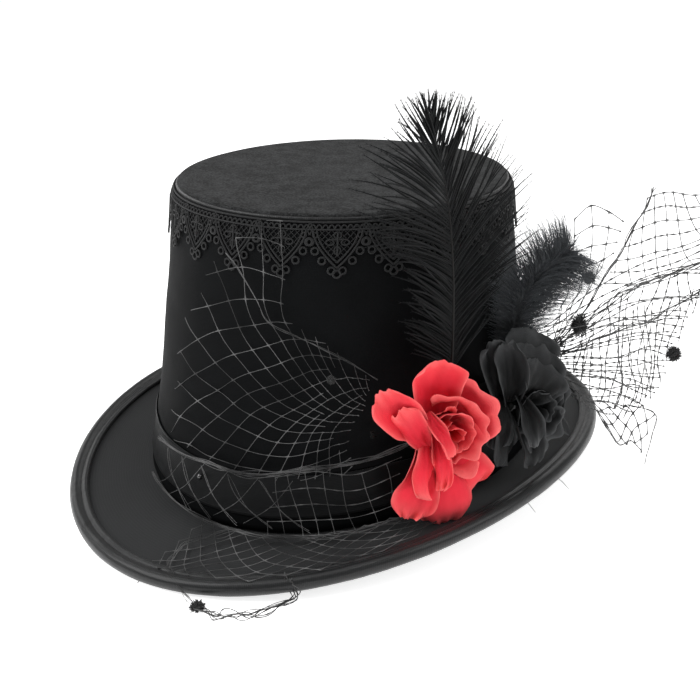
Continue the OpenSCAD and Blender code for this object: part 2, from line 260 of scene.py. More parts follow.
def uneven(x, y=0.0, z=0.0):
    """Smooth noise from about -1 to 1."""
    return noise.noise(Vector((x, y, z)))


def ripple(point, size, height, seed=0.0):
    """Slight unevenness of a surface, with features about size across."""
    return height * noise.noise(Vector(point) / size + Vector((seed, seed, seed)))


def base_z(a):
    return BASE_ROLL * cos(radians(2 * a))


def off_wall(a, z, out):
    """A point out millimetres off the wall, a degrees round from the wearer's left."""
    share = max(z, 0) / CROWN_H
    out -= WAIST * sin(pi * share)
    return ring(a, mix(BASE_X, TIP_X, share) + out, mix(BASE_Y, TIP_Y, share) + out, z)


def foot(h, a):
    """How far a line h above the brim follows the brim's dip."""
    return base_z(a) * (1 - h / CROWN_H)


def cloth(name, columns, rows, place, cut):
    """A grid of columns by rows, laid where place(across, along) says. Its flat size in
    millimetres is kept as a map for the weave, and meeting edges are joined."""
    mesh = bmesh.new()
    flat = mesh.loops.layers.uv.new("cloth")
    bmesh.ops.create_grid(mesh, x_segments=columns, y_segments=rows, size=0.5, calc_uvs=True)
    for face in mesh.faces:
        for loop in face.loops:
            loop[flat].uv = (loop[flat].uv[0] * cut[0], loop[flat].uv[1] * cut[1])
    for vert in mesh.verts:
        vert.co = place(vert.co.x + 0.5, vert.co.y + 0.5)
    bmesh.ops.remove_doubles(mesh, verts=mesh.verts, dist=0.001)
    return built(name, mesh)


def thicken(piece, thickness, offset=-1.0, smooth=0, even=True):
    """Gives a sheet its thickness, and rounds it."""
    wall = piece.modifiers.new("thickness", "SOLIDIFY")
    wall.thickness = thickness * MM
    wall.offset = offset
    wall.use_even_offset = even
    if smooth:
        rounded = piece.modifiers.new("rounding", "SUBSURF")
        rounded.levels = smooth
        rounded.render_levels = smooth


def fit(piece, slot, material, *nodes):
    """Dresses a piece, fixes it to the hat and hides the nodes it stands for."""
    piece.data.materials.append(material)
    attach(piece, "root")
    if nodes:
        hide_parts(*nodes)
    return piece


def layer(name, columns, rows, place, cut, thickness, slot, material, *nodes, offset=-1.0):
    """A sheet of cloth or felt with its thickness and finish."""
    piece = cloth(name, columns, rows, place, cut)
    thicken(piece, thickness, offset)
    return fit(piece, slot, material, *nodes)


def fine_cloth(name, dark, light, blue, roughness, sheen, gloss):
    """Covering cloth: a close weave, faint clouds in its dye and a soft sheen."""
    finish = Finish(name, Sheen_Weight=sheen, Sheen_Roughness=0.5, Specular_IOR_Level=gloss)
    clouds = finish.cloud(14, 4)
    threads = finish.wave(0.7, "X") * finish.wave(0.7, "Y")
    return finish.show(finish.blend(clouds * 0.7 + threads * 0.3, grey(dark, blue), grey(light, blue)),
                       roughness=clouds * 0.12 + roughness,
                       relief=threads * 0.6 + finish.cloud(0.5) * 0.4, depth=0.06)


def crown_place(across, along):
    a = 360 * across
    top = CROWN_H - 0.3
    z = mix(LAY, top, along)
    fold = clamp((z - (top - SHOULDER)) / SHOULDER)
    swell = ripple(off_wall(a, z, 0), 26, 0.5) + ripple(off_wall(a, z, 0), 9, 0.12, 3)
    return off_wall(a, z + foot(z, a), swell * (1 - fold) - SHOULDER_IN * fold ** 2)


crown_cloth = fine_cloth("crown_cloth", 0.002, 0.0055, 0.2, 0.6, 0.0, 0.05)
crown_cover = layer("crown_cover", 180, 48, crown_place, (595, 128), WALL_T, "crown_cloth", crown_cloth,
                    "crown_side")

# ---------------------------------------------------------------- tip
# The oval top is felt with a short fuzzy nap that shows as fine grey mottling. The wall's cloth
# is rolled over its edge in a narrow welt, with a line of stitches just inside.
WELT_R = 1.05
TIP_STITCH_IN = SHOULDER_IN + 2.6
TIP_STITCH_Z = CROWN_H - 0.2
felt = Finish("tip_felt", Sheen_Weight=0.03, Sheen_Roughness=0.6, Specular_IOR_Level=0.12)
nap = felt.cloud(0.9, 6)
tufts = felt.node("ShaderNodeTexVoronoi", {}, {"Vector": felt.place(), "Scale": 1000 / 1.3})
mottle = felt.spread(nap * 0.7 + felt.cloud(6, 2) * 0.3, 0.41, 0.61)
tip_felt = felt.show(felt.blend(mottle, grey(0.005, 0.05), grey(0.036, 0.05)),
                     roughness=nap * 0.1 + 0.85, relief=nap * 0.8 + tufts * 0.2, depth=0.25)


def tip_place(across, along):
    spot = ring(360 * across, (TIP_X - SHOULDER_IN) * along, (TIP_Y - SHOULDER_IN) * along)
    edge = max(0, (along - 0.97) / 0.03)
    lift = ripple(spot, 30, 0.35) + ripple(spot, 4, 0.06, 5)
    return spot + UP * (CROWN_H - 0.45 + lift * (1 - edge) - 0.5 * edge * edge)


def on_tip(a, inset, z):
    return ring(a, TIP_X - inset, TIP_Y - inset, z)


def welt_place(across, along):
    a = 360 * across
    thick = WELT_R * (1 + 0.05 * sin(radians(a * 110)) + 0.03 * sin(radians(a * 37)))
    turned = 2 * pi * along
    return (on_tip(a, SHOULDER_IN - 0.1, CROWN_H - WELT_R)
            + (cos(turned) * ring(a) + sin(turned) * UP) * thick)


layer("tip_cloth", 160, 46, tip_place, (154, 156), 1.4, "tip_felt", tip_felt, "crown_tip")
satin = Finish("binding_satin", Sheen_Weight=0.06, Specular_IOR_Level=0.24, Coat_Weight=0.15,
               Coat_Roughness=0.12)
threads_across = satin.wave(0.8, "X", warp=1.0)
binding_satin = satin.show(
    satin.blend(threads_across * 0.5 + satin.cloud(8) * 0.5, grey(0.004, 0.1), grey(0.013, 0.1)),
    roughness=satin.cloud(5) * 0.16 + 0.3, relief=threads_across, depth=0.05)
fit(cloth("tip_welt_roll", 420, 12, welt_place, (490, 6.6)), "crown_cloth", binding_satin, "tip_welt")


def mottled(name, size, detail, low, high, spread, roughness, depth=0.0, **constants):
    """A finish in which one cloud of noise varies the colour, the roughness and the relief."""
    finish = Finish(name, **constants)
    tone = finish.cloud(size, detail)
    return finish.show(finish.blend(tone, low, high), tone * spread + roughness,
                       tone if depth else None, depth)


def stitch_row(name, count, line, length, slot, lean=0.0, radius=0.22):
    """A row of short stitches; line(a) gives the middle of each, its run and its rise."""
    mesh = bmesh.new()
    for number in range(count):
        middle, run, rise = line((number + 0.5) * 360 / count)
        run = run.normalized()
        rise = rise.normalized()
        axes = Matrix((run, run.cross(rise), rise)).transposed().to_4x4()
        shape = Matrix.Rotation(lean, 4, "Z") @ Matrix.Diagonal((length / 2, radius * 1.2, radius, 1))
        bmesh.ops.create_uvsphere(mesh, u_segments=6, v_segments=4, radius=1,
                                  matrix=Matrix.Translation(middle) @ axes @ shape
                                  @ Matrix.Rotation(pi / 2, 4, "Y"))
    fit(built(name, mesh), slot, sewing_thread)


def tip_stitch_line(a):
    here = on_tip(a, TIP_STITCH_IN, TIP_STITCH_Z)
    return here, on_tip(a + 0.5, TIP_STITCH_IN, TIP_STITCH_Z) - here, UP


sewing_thread = mottled("sewing_thread", 0.4, 3, grey(0.012), grey(0.035), 0.2, 0.5, 0.05,
                        Sheen_Weight=0.2, Specular_IOR_Level=0.4)
stitch_row("tip_stitches", 190, tip_stitch_line, 1.9, "crown_cloth")

# ---------------------------------------------------------------- brim
# Two faces of the same dull cloth on a stiff felt core. It dips at the front and back and curls
# up at the sides, and a steel wire in the edge holds that curve.
EDGE_X = 114.4
EDGE_Y = 146
EDGE_LIFT = 0.7
EDGE_ROLL = 7.1
CORE_T = 1.6
COVER_T = 0.7
CURL = 1.4
WIRE_D = 1.6
BRIM_T = CORE_T + 2 * COVER_T + 2 * LAY


def brim_rise(a):
    return EDGE_LIFT + EDGE_ROLL * cos(radians(2 * a)) - base_z(a) + BRIM_T / 2


def brim_across(a):
    return ring(a, EDGE_X - BASE_X, EDGE_Y - BASE_Y)


def brim_up(a, s):
    slope = brim_rise(a) * CURL * max(s, 0) ** (CURL - 1) / brim_across(a).length
    return (UP - slope * brim_across(a).normalized()).normalized()


def off_brim(a, s, lift):
    """A point over the brim: s is 0 at the wall and 1 at the edge, lift is from mid-thickness."""
    x = BASE_X + s * (WALL_T if s < 0 else EDGE_X - BASE_X)
    y = BASE_Y + s * (WALL_T if s < 0 else EDGE_Y - BASE_Y)
    z = base_z(a) - BRIM_T / 2 + brim_rise(a) * max(s, 0) ** CURL
    return ring(a, x, y, z) + lift * brim_up(a, s)


def brim_sheet(name, low, thickness, slot, material, node, swell):
    """One layer of the brim, from the head opening out to the wire."""
    def place(across, along):
        a = 360 * across
        s = mix(-1, 1 - (WIRE_D + 1.5) / brim_across(a).length, along)
        spot = off_brim(a, s, low)
        return spot + UP * swell * ripple(spot, 24, 0.9) * clamp(4 * s) * (1 - along)
    layer(name, 180, 22, place, (760, 42), thickness, slot, material, node,
          offset=1.0 if low > 0 else -1.0)


brim_satin = fine_cloth("brim_cloth", 0.008, 0.017, 0.12, 0.58, 0.12, 0.18)
core_felt = mottled("core_felt", 1.0, 5, grey(0.03), grey(0.06), 0.1, 0.85, 0.2, Sheen_Weight=0.2)
brim_sheet("brim_top", CORE_T / 2 + LAY, COVER_T, "brim_cloth", brim_satin, "brim_upper", 1.0)
brim_sheet("brim_middle", -CORE_T / 2, CORE_T, "brim_felt", core_felt, "brim_core", 0.0)
brim_sheet("brim_bottom", -CORE_T / 2 - LAY, COVER_T, "brim_cloth", brim_satin, "brim_under", 0.0)
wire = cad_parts["brim_wire"].data
wire.materials.clear()
wire.materials.append(mottled("wire_steel", 1.5, 3, grey(0.4), grey(0.55), 0.2, 0.3, Metallic=1.0))

# The binding is a folded satin strip. It makes a glossy roll round the wire, sinks into a groove
# inside it, and ends in a raised fold held by a row of stitches, above and below the brim.
BIND_PROFILE = [(7.4, 1.75), (7.1, 2.5), (6.4, 2.85), (5.6, 2.6), (4.8, 2.12), (4.0, 2.1),
                (3.1, 2.62), (2.0, 3.0), (0.7, 2.7), (-0.4, 1.6), (-0.8, 0.0)]
BIND_STITCH_IN = 6.4
BIND_STITCH_LIFT = 2.86
bind_path = BIND_PROFILE + [(inset, -lift) for inset, lift in reversed(BIND_PROFILE[:-1])]


def bind_place(across, along):
    a = 360 * across
    step = along * (len(bind_path) - 1)
    first = min(int(step), len(bind_path) - 2)
    inset, lift = (mix(p, q, step - first) for p, q in zip(bind_path[first], bind_path[first + 1]))
    arc = a * 2.3
    pucker = 0.1 * sin(arc * 0.9 + inset * 0.8) * uneven(arc / 9, 0, 7)
    pucker += 0.175 * noise.noise(ring(a, 9, 9, inset / 3))
    return off_brim(a, 1 - inset / brim_across(a).length, lift + (pucker if lift > 0 else -pucker))


def bind_stitch_line(a):
    s = 1 - BIND_STITCH_IN / brim_across(a).length
    here = off_brim(a, s, BIND_STITCH_LIFT)
    return here, off_brim(a + 0.4, s, BIND_STITCH_LIFT) - here, brim_up(a, s)


def threads(name, strands, radius, sides=0):
    """Fine cords as one piece; a strand is a list of points and how thick each is, as a share."""
    line = bpy.data.curves.new(name, "CURVE")
    line.dimensions = "3D"
    line.bevel_depth = radius * MM
    line.bevel_resolution = sides
    line.use_fill_caps = True
    for strand in strands:
        spline = line.splines.new("POLY")
        spline.points.add(len(strand) - 1)
        for knot, (spot, share) in zip(spline.points, strand):
            knot.co = (spot.x * MM, spot.y * MM, spot.z * MM, 1)
            knot.radius = share
    piece = bpy.data.objects.new(name, line)
    bpy.context.scene.collection.objects.link(piece)
    return piece


layer("brim_binding_strip", 720, 40, bind_place, (830, 22), 0.35, "binding_satin", binding_satin,
      "brim_binding")
stitch_row("binding_stitches", 300, bind_stitch_line, 1.9, "binding_satin", 0.15, 0.24)

# A few ends of its sewing thread hang loose under the edge.
loose_ends = []
for a, reach in ((-86, 4.5), (2, 3.5), (-8, 3.0)):
    start = off_brim(a, 0.99, -2.4)
    out = brim_across(a).normalized()
    loose_ends.append([(start, 1.0), (start + out * reach * 0.6 - UP * reach * 0.3, 1.0),
                       (start + out * reach + Vector((reach * 0.5, 0, -reach)), 0.6)])
fit(threads("binding_loose_ends", loose_ends, 0.16), "binding_satin", sewing_thread)

# ---------------------------------------------------------------- inside of the hat
# The wall and tip are lined with black taffeta that is gathered a little at the tip. A ribbed
# sweatband is sewn in at the head line, with a small flat bow at the back.
SWEATBAND_H = 32
INSIDE = -WALL_T - LAY
taffeta = Finish("lining_taffeta", Sheen_Weight=0.1, Specular_IOR_Level=0.5)
lining_taffeta = taffeta.show(taffeta.blend(taffeta.cloud(10), grey(0.010, 0.1), grey(0.022, 0.1)),
                              roughness=taffeta.cloud(6) * 0.15 + 0.32,
                              relief=taffeta.wave(0.9, "Y"), depth=0.04)


def wall_lining_place(across, along):
    a = 360 * across
    z = mix(SWEATBAND_H - 6, CROWN_H - 3.6, along)
    gather = (0.35 + 0.9 * along ** 3) * sin(radians(a * 46)) * uneven(a / 11)
    gather += ripple(off_wall(a, z, 0), 18, 0.6, 9)
    free = clamp((along - 0.07) * 8)
    return off_wall(a, z + foot(z, a), INSIDE - 0.1 + free * (min(gather, 0.3) - 0.25))


def tip_lining_place(across, along):
    reach = along * 0.965
    ruck = 0.5 * sin(40 * 2 * pi * across) * along ** 6
    spot = ring(360 * across, TIP_X * reach, TIP_Y * reach)
    return spot + UP * (CROWN_H - 3.1 - abs(ripple(spot, 22, 1.2, 2)) - abs(ruck))


layer("wall_lining", 360, 16, wall_lining_place, (560, 95), 0.25, "lining_cloth", lining_taffeta,
      "crown_lining")
layer("tip_lining_disc", 200, 18, tip_lining_place, (148, 150), 0.25, "lining_cloth", lining_taffeta,
      "tip_lining")
grosgrain = Finish("sweatband_grosgrain", Sheen_Weight=0.15)
ribs = grosgrain.wave(1.1, "X")
sweatband_ribbed = grosgrain.show(grosgrain.blend(ribs, grey(0.012), grey(0.035)),
                                  roughness=ribs * 0.15 + 0.6, relief=ribs, depth=0.25)


def sweatband_place(across, along):
    a = 360 * across
    z = mix(-3.2, SWEATBAND_H, along)
    return off_wall(a, z + foot(z, a), INSIDE - 0.1 - 0.35 * sin(pi * along) ** 2)


def sweat_stitch_line(a):
    z = 1.2 + foot(1.2, a)
    middle = off_wall(a, z, INSIDE - 0.95)
    return middle, off_wall(a + 0.5, z, INSIDE - 0.95) - middle, ring(a)


layer("sweatband_ribbon", 240, 10, sweatband_place, (580, 35), 0.7, "sweatband_cloth",
      sweatband_ribbed, "sweatband")
stitch_row("sweatband_stitches", 150, sweat_stitch_line, 2.4, "sweatband_cloth")

ribbon = Finish("ribbon_satin", Sheen_Weight=0.02, Specular_IOR_Level=0.12)
ribbon_ribs = ribbon.wave(0.7, "Y", warp=0.6)
ribbon_satin = ribbon.show(
    ribbon.blend(ribbon.cloud(12) * 0.6 + ribbon_ribs * 0.4, grey(0.003, 0.15), grey(0.008, 0.15)),
    roughness=ribbon.cloud(8) * 0.14 + 0.33, relief=ribbon_ribs + ribbon.cloud(3), depth=0.05)


def middle_of(node):
    low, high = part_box(node)
    return (Vector(low) + Vector(high)) / 2 / MM


bow_middle = middle_of("sweatband_bow")
BOW_HALF = 10.5


def bow_place(across, along):
    """A flat ribbon loop each side of the knot, front and back layer, seen as a closed sleeve."""
    x = BOW_HALF * cos(2 * pi * across)
    share = abs(x) / BOW_HALF
    sleeve = 0.9 * sin(2 * pi * across) * (0.35 + 0.65 * share)
    height = 1.3 + 2.5 * share ** 0.7
    crease = 0.25 * sin(along * 3 * pi) * (1 - share)
    return Vector((x, bow_middle.y + sleeve + crease, bow_middle.z + height * (2 * along - 1)))


def knot_place(across, along):
    turned = 2 * pi * across
    pinch = 1 - 0.25 * sin(pi * along)
    return Vector((mix(-1.9, 1.9, along), bow_middle.y + 1.25 * cos(turned) * pinch,
                   bow_middle.z + 2.1 * sin(turned) * pinch))


layer("back_bow_loops", 48, 8, bow_place, (42, 8), 0.3, "ribbon_satin", ribbon_satin, "sweatband_bow")
layer("back_bow_knot", 24, 6, knot_place, (14, 4), 0.3, "ribbon_satin", ribbon_satin)

# ---------------------------------------------------------------- ribbon band
# A satin ribbon is drawn round the foot of the crown and glued. It has a woven edge line above
# and below, a few soft pulls, and a small glossy bead in front.
BAND_GAP = 7
BAND_H = 18
RIBBON_T = 0.8


def band_place(across, along):
    a = 360 * across
    h = BAND_GAP + BAND_H * along
    edge_line = 0.22 * (exp(-((along - 0.05) / 0.03) ** 2) + exp(-((along - 0.95) / 0.03) ** 2))
    pull = 0.28 * uneven(a / 7, along * 2.2, 4) + 0.2 * uneven(a / 2.4, along * 5, 8)
    return off_wall(a, h + foot(h, a) + 0.5 * noise.noise(ring(a, 3, 3, 2)),
                    LAY + 0.45 + edge_line + pull * sin(pi * along) ** 0.5)


band = layer("band_ribbon", 360, 26, band_place, (602, 18), 0.35, "ribbon_satin", ribbon_satin,
             "hat_band")

bead_mesh = bmesh.new()
bmesh.ops.create_uvsphere(bead_mesh, u_segments=20, v_segments=12, radius=1.45)
for vert in bead_mesh.verts:
    hole = exp(-((vert.co.x ** 2 + vert.co.y ** 2) / 0.25))
    vert.co.z *= 0.86 - 0.35 * hole
bmesh.ops.rotate(bead_mesh, cent=(0, 0, 0), matrix=Matrix.Rotation(pi / 2, 3, "Y"), verts=bead_mesh.verts)
bmesh.ops.translate(bead_mesh, vec=middle_of("band_bead"), verts=bead_mesh.verts)
glass = Finish("bead_gloss", Coat_Weight=1.0, Specular_IOR_Level=0.8)
bead_gloss = glass.show(glass.blend(glass.cloud(1.5), grey(0.005), grey(0.012)),
                        roughness=glass.cloud(1) * 0.05 + 0.08)
fit(built("band_bead_ball", bead_mesh), "bead", bead_gloss, "band_bead")

# ---------------------------------------------------------------- lace collar
# Corded lace hangs from the tip's edge in pointed pendants. Each is a heart of two cords with a
# small cross inside and a row of rings round its edge, and little loops fill the net above.
LACE_POINTS = 22
LACE_TURN = -101.5
LACE_PITCH = 2 * pi * 78 / LACE_POINTS
LACE_HALF = LACE_PITCH / 2
CORD_R = 0.42


def on_lace(number, x, y, lift=0.0):
    """A point of one pendant: x across from its middle and y down from the crown's top."""
    a = LACE_TURN + (number + x / LACE_PITCH) * 360 / LACE_POINTS
    fold = max(0, 1 - y / SHOULDER)
    return off_wall(a, CROWN_H - y,
                    LAY + 0.35 + lift - SHOULDER_IN * fold ** 2 + 0.1 * uneven(a / 3, y / 3))


def arc(x, y, radius, first, last, count, squash=1.0):
    return [(x + radius * cos(radians(mix(first, last, k / count))),
             y + radius * squash * sin(radians(mix(first, last, k / count)))) for k in range(count + 1)]


def heart_side(side, inset):
    """One side of a pendant's outline, from the foot of the net down to the point."""
    half = LACE_HALF - 1.4 - inset
    return [(side * half * (1 - (k / 10) ** 1.9), 4.6 + (14.6 - 1.35 * inset) * (k / 10) ** 1.15)
            for k in range(11)]


pendant = [(arc(0, 21.6, 1.5, 0, 360, 12), 0.45), (arc(LACE_HALF, 8.9, 1.4, 0, 360, 10), CORD_R),
           ([(0, 5.4), (0, 14.6)], CORD_R), ([(-2.4, 8.0), (2.4, 8.0)], 0.36),
           (arc(0, 6.4, 1.5, 0, 360, 10, 0.8), 0.34), (arc(0, 12.4, 1.3, 0, 360, 10, 1.2), 0.34)]
for side in (-1, 1):
    pendant += [(heart_side(side, 0), CORD_R), (heart_side(side, 1.5), 0.36)]
    pendant.append((arc(side * 3.0, 9.2, 1.6, 90 - side * 90, 90 + side * 270, 12, 0.7), 0.34))
    for k in (3, 5, 7, 9):
        pendant.append((arc(*heart_side(side, -2.3)[k], 1.4, 0, 360, 10), CORD_R))
    pendant.append(([(side * LACE_HALF, 1.5), (side * (LACE_HALF - 1.2), 4.2), (side * LACE_HALF, 6.4)],
                    0.34))
    pendant.append((arc(side * (LACE_HALF - 2.3), 6.4, 1.0, 0, 360, 10), 0.36))
for k in range(9):
    pendant.append((arc((k - 4) * LACE_PITCH / 9, 4.0, 1.05, 180, 360, 6, 1.3), 0.32))
mesh_bars = []
for k in range(-8, 9):
    for way in (-1, 1):
        bar = []
        for step in range(12):
            x = k * LACE_PITCH / 9 + way * step * 1.25
            y = 4.4 + step * 1.25
            limit = 4.6 + 14.0 * (1 - min(1, abs(x) / (LACE_HALF - 1.4))) ** 0.62
            if abs(x) <= LACE_HALF and y <= limit:
                bar.append((x, y))
        if len(bar) > 1:
            mesh_bars.append(bar)
lace_cords = []
lace_bars = []
for number in range(LACE_POINTS):
    for path, radius in pendant:
        lift = 0.25 if radius > 0.4 else 0.1
        lace_cords.append([(on_lace(number, x, y, lift), radius / CORD_R) for x, y in path])
    for bar in mesh_bars:
        lace_bars.append([(on_lace(number, x, y, -0.1), 1.0) for x, y in bar])
for y, share in ((1.7, 1.0), (4.3, 0.8)):
    lace_cords.append([(on_lace(0, k * LACE_PITCH / 6, y, 0.15), share)
                       for k in range(6 * LACE_POINTS + 1)])
lace_cotton = mottled("lace_cotton", 0.6, 4, grey(0.004, 0.05), grey(0.019, 0.05), 0.2, 0.6, 0.15,
                      Sheen_Weight=0.05, Specular_IOR_Level=0.25)
fit(threads("lace_cords", lace_cords, CORD_R, 1), "lace", lace_cotton, "lace_collar")
fit(threads("lace_ground", lace_bars, 0.17), "lace", lace_cotton)

# ---------------------------------------------------------------- flower pad
# A bent oval of felt is glued over the band, and the flowers, feathers and veils are all
# sewn or glued to it.
PAD_A = -13
PAD_Z = 39
PAD_TURN = 23
PAD_HALF_H = 11.5
PAD_OUT = 2 * LAY + RIBBON_T + 2.0


def pad_place(across, along):
    a = PAD_A + PAD_TURN * along * cos(2 * pi * across)
    z = PAD_Z + PAD_HALF_H * along * sin(2 * pi * across)
    return off_wall(a, z, PAD_OUT - 0.15 - 0.5 * along ** 8 + 0.15 * uneven(a / 4, z / 4))


pad_felt = mottled("pad_black_felt", 1.0, 5, grey(0.003), grey(0.009), 0.1, 0.85, 0.2,
                   Specular_IOR_Level=0.1)
layer("pad_felt", 72, 14, pad_place, (110, 44), 1.7, "tip_felt", pad_felt, "trim_pad")

# ---------------------------------------------------------------- roses
# Each flower is a stack of petals cut from thin woven cloth, cupped with a hot iron, their
# edges curled and a little frayed. They are threaded on a wire stem with a moulded cup.
PETAL_BLUNT = 0.84
PETAL_END = 1.04
WRAP_LOW = 7


def flower_frame(az, el, foot_point):
    """The flower's own axes: x runs to its right, y up its face and z outwards."""
    return (Matrix.Translation(foot_point) @ Matrix.Rotation(radians(az), 4, "Z")
            @ Matrix.Rotation(radians(90 - el), 4, "Y") @ Matrix.Rotation(pi / 2, 4, "Z"))


def petal_mesh():
    mesh = bmesh.new()
    mesh.loops.layers.uv.new("cloth")
    mesh.loops.layers.uv.new("rim")
    return mesh


def petal_sheet(mesh, axes, cut, shape, columns=18, rows=18):
    """Adds one piece of petal cloth, laid where shape(across, along) says on the flower's axes.
    A second map marks its rim, where the cloth is curled and a painted highlight makes it paler."""
    grid = bmesh.new()
    grid.loops.layers.uv.new("cloth")
    bmesh.ops.create_grid(grid, x_segments=columns, y_segments=rows, size=0.5, calc_uvs=True)
    grid.loops.layers.uv.new("rim")
    flat = grid.loops.layers.uv["cloth"]
    rim = grid.loops.layers.uv["rim"]
    for face in grid.faces:
        for loop in face.loops:
            x, y = loop[flat].uv
            loop[flat].uv = (x * cut[0], y * cut[1])
            loop[rim].uv = (max(abs(2 * x - 1), y) ** 7, 0)
    for vert in grid.verts:
        vert.co = axes @ shape(2 * vert.co.x, vert.co.y + 0.5)
    data = bpy.data.meshes.new("petal_part")
    grid.to_mesh(data)
    grid.free()
    mesh.from_mesh(data)
    bpy.data.meshes.remove(data)


def petal(mesh, axes, seed, base, tip, width, bulge, cup, ruffle, roll=0.0, twist=0.0, fold=0.0):
    """Adds one petal that runs from base to tip, points given as right, up and out of the
    flower's face. It bulges outwards, is cupped or folded along its middle, may twist on its
    way, and has a curled, ruffled and slightly frayed rim."""
    base, tip = Vector(base), Vector(tip)
    run = (tip - base).normalized()
    facing = (UP - run * run.z).normalized()
    side = run.cross(facing)

    def shape(across, along):
        full = 0.4 + 0.6 * sin(pi / 2 * min(1, along / PETAL_BLUNT))
        if along > PETAL_BLUNT:
            full = sqrt(1 - ((along - PETAL_BLUNT) / (PETAL_END - PETAL_BLUNT)) ** 2)
        edge = max(abs(across) ** 3, along ** 5)
        half = width * full
        bend = cup * across + 0.001
        out = half * (1 - cos(bend)) / cup + half * abs(across) * sin(fold * pi / 2)
        out += 1.7 * ruffle * edge * uneven(across * 2.4, along * 2.4, seed)
        out += 1.3 * uneven(across * 2.4, along * 3, seed + 9)
        out += 0.5 * uneven(across * 7, along * 4, seed + 2)
        aside = half * sin(bend) / cup * cos(fold * pi / 2)
        fray = edge * uneven(across * 7, along * 7, seed + 4) * 1.3
        fray -= 0.2 * width * across * across * along ** 3
        spin = twist * along
        centre = base + (tip - base) * along + facing * bulge * 4 * along * (1 - along)
        centre += facing * roll * max(0, (along - 0.7) / 0.3) ** 2
        return (centre + run * fray + side * (aside * cos(spin) - out * sin(spin))
                + facing * (out * cos(spin) + aside * sin(spin)))
    petal_sheet(mesh, axes, (width * 2, (tip - base).length), shape)


def wrap(mesh, axes, seed, heart, turn, sweep, radius, height, flare, ruffle):
    """Adds one petal that wraps round the flower's heart like part of a bowl, its rim rolled
    outwards. turn is the way it lies from the heart and sweep how far it reaches round."""
    def shape(across, along):
        curl = max(0, (along - 0.78) / 0.22) ** 2
        reach = radius * (0.3 + 0.7 * sin(pi / 2 * along)) * (1 + 0.1 * across) + flare * curl
        rise = WRAP_LOW + (height - WRAP_LOW) * along ** 1.3 * (1 - 0.25 * abs(across) ** 3)
        rise -= 0.5 * flare * curl
        wavy = 1.5 * ruffle * along ** 3 * uneven(across * sweep / 50, along * 2, seed)
        wavy += 0.5 * uneven(across * sweep / 18, along * 3, seed + 2)
        fray = 2.0 * along ** 6 * uneven(across * sweep / 16, along * 6, seed + 5)
        return (Vector((heart[0], heart[1], rise + wavy + fray))
                + ring(turn + sweep / 2 * across) * (reach + 1.5 * wavy))
    petal_sheet(mesh, axes, (radius * radians(sweep), height), shape, 26, 14)


def petal_cloth(name, heart_shade_colour, pale, rim_highlight, roughness, sheen):
    """Petal cloth: a fine plain weave, with painted shade towards its base and a painted highlight on its
    curled rim.
    """
    finish = Finish(name, Sheen_Weight=sheen, Sheen_Roughness=0.4, Specular_IOR_Level=0.15)
    weave = finish.wave(0.55, "X") * finish.wave(0.55, "Y")
    veins = finish.wave(3.2, "X", warp=4.0)
    along = finish.node("ShaderNodeSeparateXYZ", {}, {0: finish.flat()}, 1)
    rim = finish.node("ShaderNodeSeparateXYZ", {}, {0: finish.flat("rim")})
    # Painted shade: the cloth darkens towards each petal's base, deep in the flower's hollow.
    heart_shade_mask = finish.spread(along + finish.cloud(7) * 14, 8.0, 40.0)
    body = finish.blend(heart_shade_mask, heart_shade_colour, pale)
    # Painted highlight: the curled rim is made paler, most at its very edge.
    return finish.show(finish.blend(rim * (finish.cloud(5, 5) + 0.25), body, rim_highlight),
                       roughness=weave * 0.15 + roughness,
                       relief=weave * 0.7 + veins * 0.3 + finish.cloud(0.6) * 0.4, depth=0.14)


def flower(colour, axes, heart, material, layers):
    """Every layer of petals; a row that starts with a point is a petal, the others wrap round."""
    for part, petals in layers.items():
        name = colour + "_petals_" + part
        mesh = petal_mesh()
        for number, row in enumerate(petals):
            seed = number * 3.7 + len(name)
            if isinstance(row[0], tuple):
                petal(mesh, axes, seed, *row)
            else:
                wrap(mesh, axes, seed, heart, *row)
        piece = built(name, mesh)
        thicken(piece, 0.22, offset=0.0, smooth=1, even=False)
        fit(piece, colour + "_petal", material, colour + "_rose_" + part)


